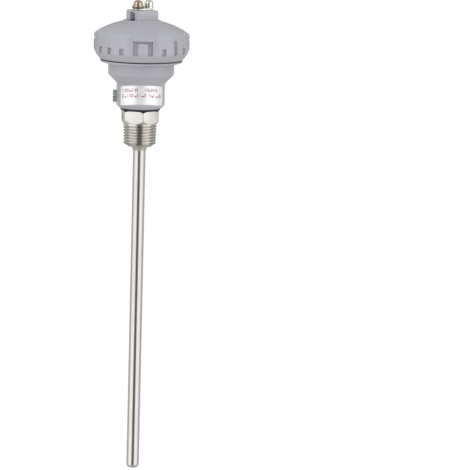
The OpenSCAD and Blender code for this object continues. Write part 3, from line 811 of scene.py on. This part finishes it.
def clamp_screws():
    """The brass screw over the channel and the plated one behind it."""
    head_z = BOSS_TOP + STRAP_T + WASHER_T
    pan_screw("fine_clamp_screw_front", on_boss(FRONT_SCREW_AT, head_z), (3.0, 4.5),
              head_z - ROOF_Z + 0.4, 1.0, BRASS, "front_clamp_screw", "clamp_screw_front", (3.8, 0.9))
    pan_screw("fine_clamp_screw_rear", on_boss(REAR_SCREW_AT, head_z), (2.8, 4.5),
              head_z - BOSS_TOP + 4.5, 0.9, PLATED, "rear_clamp_screw", "clamp_screw_rear")


def clamp_washer(name, at, outer, finish, node, gap=0.0):
    """A washer on the strap, split where it is a spring washer."""
    low = BOSS_TOP + STRAP_T
    high = low + WASHER_T
    rows = flat_ring(SCREW_R + 0.1, outer, low, high, (0.12, 0.2), 72, 3)
    obj = piece(name, [moved(rows, on_boss(at))], finish, None, 50)
    if gap:
        middle = (outer * 0.75 + at, 0, (low + high) / 2)
        cut(obj, box_mesh((outer, gap, WASHER_T * 3), middle, BOSS_TURN))
        smooth(obj, 50)
    keep_apart(obj)
    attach(obj, "cap")
    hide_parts(node)


def clamp_washers():
    """The spring washer under the brass head, nearly black as painted shadow for the gap under that
    head, and the plain one under the plated head.
    """
    clamp_washer("fine_clamp_washer_front", FRONT_SCREW_AT, 3.75, SHADOW_DARK_STEEL, "clamp_washer_front", 0.5)
    clamp_washer("fine_clamp_washer_rear", REAR_SCREW_AT, 2.9, PLATED, "clamp_washer_rear")


# ---- Housing ----

NECK_R = 20.9
FLANGE_R = 26.0
SPIGOT_TOP = 54.0
SPIGOT_BORE_R = 20.6
WELL_R = 17.9
WIRE_HOLE_R = 6.0
STUB_BORE_TOP = 22.0
LOCK_Z = 16.9
# The lock screw's own frame: its Z points out to the left, from the barrel's axis
LOCK_PLACE = Matrix.Translation((0, 0, LOCK_Z)) @ Matrix.Rotation(radians(-90), 4, "Y")


def housing():
    """The housing casting: barrel, taper, neck, flange and threaded spigot, hollow for the wiring."""
    angles = full_turn(180)
    outer = [
        (STUB_BORE_R, HOUSING_FOOT, 0.15), (13.2, HOUSING_FOOT, 0.5), (BARREL_R, 11.8, 0.8),
        (BARREL_R, 25.5, 2.0), (NECK_R, 31.3, 1.6), (NECK_R, 37.57, 1.0), (FLANGE_R, 39.1, 0.35),
        (FLANGE_R, GASKET_FACE, 0.25),
    ]
    inner = [
        (SPIGOT_R, 52.6, 0.1), (SPIGOT_R, 53.2, 0.2), (22.7, SPIGOT_TOP, 0.2),
        (SPIGOT_BORE_R, SPIGOT_TOP, 0.4), (SPIGOT_BORE_R, GASKET_FACE, 0.5),
        (WELL_R, GASKET_FACE, 0.3), (WELL_R, WELL_FLOOR, 0.3), (WIRE_HOLE_R, WELL_FLOOR, 0.4),
        (WIRE_HOLE_R, STUB_BORE_TOP, 0.1), (STUB_BORE_R, STUB_BORE_TOP, 0.1),
    ]
    shape = rounded_outline(outer + inner, 6)
    low, high = 41.0, 52.3
    # The thread takes the outline's place between the flange and the spigot's tip
    split = next(i for i, (r, z) in enumerate(shape) if z > 50)
    below = turned(shape[:split] + [(SPIGOT_R, GASKET_FACE), (SPIGOT_R, low)], angles)
    above = turned([(SPIGOT_R, high)] + shape[split:] + shape[:1], angles)

    def groove(z):
        return CAP_THREAD_DEPTH * smooth_step(low, low + 1.2, z) * smooth_step(-high, -high + 0.8, -z)

    thread = thread_rows(lambda z: SPIGOT_R, groove, CAP_THREAD_PITCH, low, high, angles)
    obj = piece("fine_housing", [below, thread, above], CASTING, None, 34)
    # A spot face and a tapped hole for the lock screw
    cut(obj, rod_mesh(4.2, 14.9, 20, LOCK_PLACE), rod_mesh(2.05, 5, 20, LOCK_PLACE, 48))
    for x in (-BLOCK_SCREW_X, BLOCK_SCREW_X):
        hole = Matrix.Translation((x, BLOCK_SCREW_Y, 0))
        cut(obj, rod_mesh(SCREW_R + FIT, WELL_FLOOR - 6, WELL_FLOOR + 1, hole, 32))
    smooth(obj, 34)
    keep_apart(obj)
    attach(obj, "base")
    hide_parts("housing")


def lock_screw():
    """The slotted lock screw on the barrel's left side, darker than the casting grey as painted shade.
    """
    outline = rounded_outline([
        (0, 9.6, 0), (1.7, 9.6, 0.1), (2.0, 9.9, 0.1), (2.0, 14.9, 0.05), (3.9, 14.9, 0.15),
        (3.9, 17.5, 0.45), (0, 17.5, 0),
    ], 4)
    rows = moved(turned(outline, full_turn(72)), LOCK_PLACE)
    obj = piece("fine_lock_screw", [rows], SHADED_CASTING_GREY, None, 40)
    cut(obj, box_mesh((2.4, 9, 1.0), (-17.5, 0, LOCK_Z)))
    round_edges(obj, 0.08, angle=50, sharp=40)
    keep_apart(obj)
    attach(obj, "lock_screw")
    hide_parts("lock_screw")


def fitting_seal():
    """The washer between the housing and the hexagon, black as painted shadow for the dark band above
    the hexagon.
    """
    rows = flat_ring(STUB_BORE_R, 12.6, HEX_H, HOUSING_FOOT, (0.1, 0.35), 120)
    obj = piece("fine_fitting_seal", [rows], BLACK_RUBBER_AND_SHADOW, "base", 60)
    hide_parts("fitting_seal")


# ---- Label ----

LABEL_TURN = 276.0
LABEL_HALF = 59.0
LABEL_FOOT = 13.3
LABEL_H = 11.9
LABEL_ARCH = 11.0  # lean of the plane that the label's lower edge lies in
LABEL_CORNER = 1.2
LABEL_BACK_R = BARREL_R + 0.02
LABEL_R = BARREL_R + FIT + 0.15
PRINT_R = LABEL_R + 0.015


def label_edge(angle, height):
    """Height of a line on the label that lies a height above its arched foot, at an angle."""
    lean = tan(radians(LABEL_ARCH))
    reach = BARREL_R * (cos(radians(angle)) - 1)
    return LABEL_FOOT + height / cos(radians(LABEL_ARCH)) + lean * reach


def label():
    """The foil label that wraps the barrel's front, with round corners."""
    mm_per_degree = BARREL_R * radians(1)
    columns = [-LABEL_HALF + 2 * LABEL_HALF * i / 96 for i in range(97)]
    fronts, backs = [], []
    for share in [0, 0.02, 0.05] + [i / 12 for i in range(1, 12)] + [0.95, 0.98, 1]:
        front, back = [], []
        for a in columns:
            past_round = max(LABEL_CORNER - (LABEL_HALF - abs(a)) * mm_per_degree, 0)
            inset = LABEL_CORNER - sqrt(max(LABEL_CORNER ** 2 - past_round ** 2, 0))
            z = label_edge(a, inset + (LABEL_H - 2 * inset) * share)
            front.append(around(LABEL_R, a + LABEL_TURN, z))
            back.append(around(LABEL_BACK_R, a + LABEL_TURN, z))
        # The front wraps round both ends to meet the back
        fronts.append(back[:1] + front + back[-1:])
        backs.append(back[:1] + back + back[-1:])
    rows = fronts + list(reversed(backs)) + fronts[:1]
    obj = piece("fine_label", [rows], LABEL, "base", 50)
    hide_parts("label")


def print_mark(bm, start, end, low, high):
    """One small printed block on the label, from angle start to end and height low to high."""
    steps = 4
    for i in range(steps):
        left = start + (end - start) * i / steps
        right = start + (end - start) * (i + 1) / steps
        corners = ((left, low), (right, low), (right, high), (left, high))
        bm.faces.new([
            bm.verts.new(Vector(around(PRINT_R, a + LABEL_TURN, label_edge(a, h))) * MM)
            for a, h in corners
        ])


def label_print():
    """Two rows of small red blocks and bars, in groups like printed lines."""
    bm = bmesh.new()
    pick = random.Random(7)
    # Height of each row's foot, height of its blocks, and the angles that it spans
    rows = [(8.2, 1.9, [(-53, -14), (6, 37)]), (4.7, 2.1, [(-53, 53)])]
    for foot, tall, spans in rows:
        for start, end in spans:
            a = start
            while a < end:
                width = pick.choice((2.4, 3.2, 4.0, 4.8))
                style = pick.choice(("pair", "pair", "stem", "low", "ring"))
                draw_block(bm, style, a, a + width, foot, foot + tall)
                a += width + pick.choice((1.3, 1.3, 1.6, 4.0))
    obj = finished_piece("label_print", bm, PRINT, "base")


def draw_block(bm, style, start, end, low, high):
    """A printed block in one of a few plain styles, none of them a letter."""
    stroke = 0.9
    rim = (high - low) * 0.2
    if style == "low":
        print_mark(bm, start, end, low, low + 2 * rim)
        return
    print_mark(bm, start, start + stroke, low, high)
    if style != "stem":
        print_mark(bm, end - stroke, end, low, high)
    if style == "ring":
        print_mark(bm, start + stroke, end - stroke, low, low + rim)
        print_mark(bm, start + stroke, end - stroke, high - rim, high)


# ---- Process fitting and sheath ----

HEX_FLATS = 22.0
HEX_TURN = 41.0
THREAD_L = 12.9
THREAD_PITCH = 1.814
THREAD_SMALL_R = 10.221
THREAD_LARGE_R = 10.624
THREAD_DEPTH = 1.16
THREAD_TOP = -0.3
THREAD_FOOT = -THREAD_L - 0.05
STUB_TOP = 21.5
WELD_TOP = -14.8
WELD_FOOT = -17.7
SHEATH_DEPTH = 222.9
SHEATH_TOP = 25.0
SHEATH_R = 4.0
SHEATH_WALL = 0.75
SHEATH_END = 1.9  # thickness of the closed end
SHEATH_SEAT_R = 3.75
SHEATH_BORE_R = SHEATH_SEAT_R + FIT  # in the fitting and the weld
TIP_ROUND = 2.6


def hexagon_piece():
    """The hexagon, chamfered on a lathe above and below."""
    corner_r = HEX_FLATS / sqrt(3)
    flat_r = HEX_FLATS / 2
    clear_r = corner_r + 0.4
    foot_r = flat_r - 0.2
    foot_cut = (clear_r - foot_r) * 1.25
    top_cut = (clear_r - flat_r) * 0.65
    prism = rod_mesh(corner_r, 0, HEX_H, Matrix.Rotation(radians(HEX_TURN - 90), 4, "Z"), 6)
    hexagon = finished_piece("hexagon", prism, FITTING_STEEL, None)
    round_edges(hexagon, 0.35, angle=50, segments=3)
    profile = [
        (0, 0), (foot_r, 0), (clear_r, foot_cut), (clear_r, HEX_H - top_cut), (flat_r, HEX_H),
        (0, HEX_H),
    ]
    cut(hexagon, skinned([turned(profile, full_turn(180))]), how="INTERSECT")
    return round_edges(hexagon, 0.06, angle=12, sharp=20)


def process_fitting():
    """The hexagon, the tapered thread under it, its lead-in and the upper stub."""
    angles = full_turn(144)

    def crest(z):
        up = max(z + THREAD_L, 0) / THREAD_L
        return THREAD_SMALL_R + (THREAD_LARGE_R - THREAD_SMALL_R) * up

    def depth(z):
        return THREAD_DEPTH * smooth_step(0.2, 1.0, -z) * smooth_step(THREAD_FOOT, THREAD_FOOT + 0.3, z)

    bore, bore_top = SHEATH_BORE_R, STUB_TOP - 0.4
    lead_in = turned([
        (bore, bore_top), (bore, WELD_TOP), (7.0, WELD_TOP), (7.25, WELD_TOP + 0.08),
        (9.82, -THREAD_L - 0.1), (crest(-THREAD_L), THREAD_FOOT),
    ], angles)
    thread = thread_rows(crest, depth, THREAD_PITCH, THREAD_FOOT, THREAD_TOP, angles)
    stub = turned([
        (crest(THREAD_TOP), THREAD_TOP), (THREAD_LARGE_R - 0.05, 0.2), (STUB_R, HEX_H - 0.2),
        (STUB_R, STUB_TOP - 0.3), (STUB_R - 0.3, STUB_TOP), (bore + 0.4, STUB_TOP), (bore, bore_top),
    ], angles)
    shaft = piece("thread_and_stub", [lead_in, thread, stub], FITTING_STEEL, None, 40)
    obj = join("fine_process_fitting", hexagon_piece(), shaft)
    smooth(obj, 24)
    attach(obj, "base")
    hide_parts("process_fitting")


def weld_bead():
    """The rippled weld between the fitting's end and the sheath."""
    angles = full_turn(180)
    top_r, narrowing = 5.0, 0.85
    ripple_depth, ripples = 0.09, 22
    rows = []
    for step in range(9):
        share = step / 8
        z = WELD_TOP + (WELD_FOOT - WELD_TOP) * share
        body_r = top_r - narrowing * smooth_step(0, 1, share) ** 0.8
        row = []
        for a in angles:
            wave = abs(sin(radians(a * ripples / 2) + 1.1 * share))
            row.append(around(body_r - ripple_depth * wave * sin(pi * share), a, z))
        rows.append(row)
    rows += turned([(SHEATH_BORE_R, WELD_FOOT), (SHEATH_BORE_R, WELD_TOP)], angles) + rows[:1]
    obj = piece("fine_weld_bead", [rows], WELD, "base", 60)
    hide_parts("weld_bead")


def sheath():
    """The long closed tube with its rounded tip and its reduced upper end."""
    tip = arc((SHEATH_R - TIP_ROUND, TIP_ROUND - SHEATH_DEPTH), TIP_ROUND, -90, 0)
    wall = [(SHEATH_R, z) for z in range(-200, -20, 20)]
    bore = SHEATH_R - SHEATH_WALL
    bore_end = SHEATH_END - SHEATH_DEPTH
    upper = [
        (SHEATH_R, WELD_FOOT), (SHEATH_SEAT_R, WELD_FOOT), (SHEATH_SEAT_R, SHEATH_TOP - 0.2),
        (SHEATH_SEAT_R - 0.2, SHEATH_TOP), (bore + 0.1, SHEATH_TOP), (bore, SHEATH_TOP - 0.1),
    ]
    outline = [(0, -SHEATH_DEPTH)] + tip + wall + upper + [(bore, bore_end), (0, bore_end)]
    obj = piece("fine_sheath", [turned(outline, full_turn(96))], SHEATH_STEEL, "base", 40)
    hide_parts("sheath")


# ---- Inside the head ----

BLOCK_TOP = 41.0
PLATE_TOP = 42.0
TERMINAL_PITCH = 8.2
TERMINAL_SCREW_Y = -7.6


def head_wires():
    """Three insulated wires that rise through the block and arch over to their plates."""
    wire_r = 0.6
    for i, (angle, finish) in enumerate(((210, RED_WIRE), (90, WHITE_WIRE), (330, RED_WIRE))):
        across = (i - 1) * (2 * wire_r + 0.3)
        end_x = (i - 1) * TERMINAL_PITCH
        route = [around(1.6, angle, z) for z in (22.1, 25, 27)] + [
            (across, 3, WELL_FLOOR), (across, 3, PLATE_TOP + 2.2), (end_x * 0.6, 2.6, PLATE_TOP + 3.6),
            (end_x, 1.4, PLATE_TOP + 2.6), (end_x, -2.2, PLATE_TOP + 0.6),
        ]
        wire_piece(f"head_wire_{i + 1}", route, wire_r, finish)
    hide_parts("head_wires")


def wire_piece(name, route, radius, finish):
    """A smooth round wire along a route."""
    steps = 8
    turns = [2 * pi * k / 16 for k in range(17)]
    path = [on_curve(route, i / steps) for i in range(steps * (len(route) - 1) + 1)]
    rows = [[tuple(path[0])] * 17]
    for i, here in enumerate(path):
        run = (path[min(i + 1, len(path) - 1)] - path[max(i - 1, 0)]).normalized()
        side = run.cross(Vector((1, 0, 0))).normalized()
        up = side.cross(run)
        rows.append([tuple(here + radius * (side * cos(t) + up * sin(t))) for t in turns])
    rows.append([tuple(path[-1])] * 17)
    return piece(name, [rows], finish, "base", 50)


def on_curve(points, t):
    """A point on the smooth curve through a route, where t counts the route's points."""
    last = len(points) - 1
    i = min(int(t), last - 1)
    u = t - i
    a, b, c, d = (Vector(points[k]) for k in (max(i - 1, 0), i, i + 1, min(i + 2, last)))
    square, cube = 2 * a - 5 * b + 4 * c - d, 3 * b - a - 3 * c + d
    return (2 * b + (c - a) * u + square * u ** 2 + cube * u ** 3) / 2


def inside_screws():
    """The three terminal screws and the two that hold the block."""
    head = (2.7, 2.0)
    for i in (1, 2, 3):
        place = Matrix.Translation(((i - 2) * TERMINAL_PITCH, TERMINAL_SCREW_Y, PLATE_TOP))
        pan_screw(f"fine_terminal_screw_{i}", place, head, 6.5, 0.8, PLATED,
                  f"terminal_screw_{i}", f"terminal_screw_{i}")
    for i, x in ((1, -BLOCK_SCREW_X), (2, BLOCK_SCREW_X)):
        place = Matrix.Translation((x, BLOCK_SCREW_Y, BLOCK_TOP))
        pan_screw(f"block_screw_{i}", place, head, 13.5, 0.8, PLATED, "base")
    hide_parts("block_screws")


def inside_pieces():
    """The pieces inside that keep their plain shape, with softened edges and their own finishes."""
    softened("terminal_block", 0.3, CERAMIC, "base")
    for i in (1, 2, 3):
        softened(f"terminal_plate_{i}", 0.15, BRASS, "base")
    softened("pressure_plate", 0.12, PLATED, "cap")
    softened("clamp_strap", 0.18, PLATED, "cap")
    for node, finish in (("insulating_core", CERAMIC), ("sensing_element", CERAMIC),
                         ("element_leads", PLATED), ("end_seal", POTTING)):
        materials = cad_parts[node].data.materials
        materials.clear()
        materials.append(finish)


# ---- Studio ----

FLOOR_GLOW = 1.1
FLOOR_GLOW_SHARE = 0.88


def studio_floor():
    """A pale floor just under the tip, which lets light through and is clear from below."""
    material, tree, shader = new_finish("studio_white", Base_Color=(0.55, 0.55, 0.55, 1), Roughness=0.9)
    glow = add(tree, "ShaderNodeEmission", {"Color": (1, 1, 1, 1), "Strength": FLOOR_GLOW})
    pale = add(tree, "ShaderNodeMixShader", {
        0: FLOOR_GLOW_SHARE, 1: shader.outputs["BSDF"], 2: glow.outputs["Emission"],
    })
    clear = add(tree, "ShaderNodeBsdfTransparent")
    below = add(tree, "ShaderNodeNewGeometry").outputs["Backfacing"]
    rays = add(tree, "ShaderNodeLightPath").outputs
    seen = maths(tree, "SUBTRACT", rays["Is Camera Ray"], below)
    mix = add(tree, "ShaderNodeMixShader", {
        0: seen, 1: clear.outputs["BSDF"], 2: pale.outputs["Shader"],
    })
    tree.links.new(mix.outputs["Shader"], tree.nodes["Material Output"].inputs["Surface"])
    radius, drop = 4.0, 0.002
    bm = bmesh.new()
    bmesh.ops.create_circle(bm, cap_ends=True, segments=96, radius=radius,
                            matrix=Matrix.Translation((0, 0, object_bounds()[0][2] - drop)))
    finished_piece("studio_floor", bm, material, None, 180)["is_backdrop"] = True


# Angles in degrees from straight in front, and strengths
GAP_FROM = 6.0
GAP_TO = 32.0
GAP_LIGHT = 0.15
PANEL_END = 88.0
PANEL_FADE = 14.0
PANEL_LIGHT = 1.38
SOFT_LIGHT = 0.95
BACK_LIGHT = 0.62
TOP_LIGHT = 0.62
SOFT_TOP_LIGHT = 0.70
LOW_LIGHT = 0.6


def studio_sky():
    """Tall panels with a dark gap in front and behind for reflections, even light for the rest.

    Both are dimmer behind, above and below.
    """
    world = bpy.data.worlds.new("studio_sky")
    world.use_nodes = True
    tree = world.node_tree
    place = add(tree, "ShaderNodeTexCoord").outputs["Generated"]
    way = add(tree, "ShaderNodeSeparateXYZ", {"Vector": place}).outputs
    front = maths(tree, "MULTIPLY", way["Y"], -1.0)
    squares = [maths(tree, "MULTIPLY", part, part) for part in (way["X"], front)]
    flat = maths(tree, "SQRT", maths(tree, "ADD", *squares))
    facing = maths(tree, "DIVIDE", front, maths(tree, "MAXIMUM", flat, 0.001))

    gap_ends = (cos(radians(GAP_FROM)), cos(radians(GAP_TO)))
    gap = mapped(tree, maths(tree, "ABSOLUTE", facing), *gap_ends, GAP_LIGHT, PANEL_LIGHT)
    behind = (cos(radians(PANEL_END + PANEL_FADE)), cos(radians(PANEL_END - PANEL_FADE)), BACK_LIGHT)
    panels = maths(tree, "MINIMUM", gap, mapped(tree, facing, *behind, PANEL_LIGHT))
    soft = mapped(tree, facing, *behind, SOFT_LIGHT)

    rays = add(tree, "ShaderNodeLightPath").outputs
    sides = between(tree, rays["Is Diffuse Ray"], panels, soft)
    above = between(tree, rays["Is Diffuse Ray"], TOP_LIGHT, SOFT_TOP_LIGHT)
    light = between(tree, mapped(tree, way["Z"], 0.5, 0.95), sides, above)
    light = between(tree, mapped(tree, way["Z"], -0.3, -0.8), light, LOW_LIGHT)
    shown = between(tree, rays["Is Camera Ray"], light, 1.0)
    background = tree.nodes["Background"]
    tree.links.new(shown, background.inputs["Strength"])
    background.inputs["Color"].default_value = (1, 1, 1, 1)
    bpy.context.scene.world = world


def soft_box(name, place, size, power):
    """A rectangular area light that faces the head."""
    light = bpy.data.lights.new(name, "AREA")
    light.shape = "RECTANGLE"
    light.size, light.size_y = size
    light.energy = power
    obj = bpy.data.objects.new(name, light)
    obj.location = place
    head = Vector((0, 0, 0.05))
    obj.rotation_euler = (head - Vector(place)).to_track_quat("-Z", "Y").to_euler()
    bpy.context.scene.collection.objects.link(obj)


def camera():
    """A long lens, a little above level, rolled so that the head leans to the right."""
    frame_height = 0.2995
    distance = 2.5
    rise, roll = radians(8.4), radians(1.45)
    aim = Vector((0.0621, 0, -0.0704))
    data = bpy.data.cameras.new("probe_camera")
    data.lens = data.sensor_width * distance / frame_height
    obj = bpy.data.objects.new("probe_camera", data)
    away = Vector((0, -cos(rise), sin(rise)))
    obj.location = aim + away * distance
    obj.rotation_mode = "QUATERNION"
    level = (-away).to_track_quat("-Z", "Y")
    obj.rotation_quaternion = level @ Quaternion((0, 0, 1), roll)
    bpy.context.scene.collection.objects.link(obj)
    bpy.context.scene.camera = obj


cap()
cap_gasket()
clamp_screws()
clamp_washers()
housing()
lock_screw()
fitting_seal()
label()
label_print()
process_fitting()
weld_bead()
sheath()
head_wires()
inside_screws()
inside_pieces()
studio_floor()
studio_sky()
soft_box("upper_left_box", (-0.5, -0.45, 0.75), (0.35, 0.35), 0.85)
soft_box("right_box", (0.75, -0.35, 0.35), (0.25, 0.6), 0.45)
camera()
bpy.context.scene.view_settings.view_transform = "Standard"
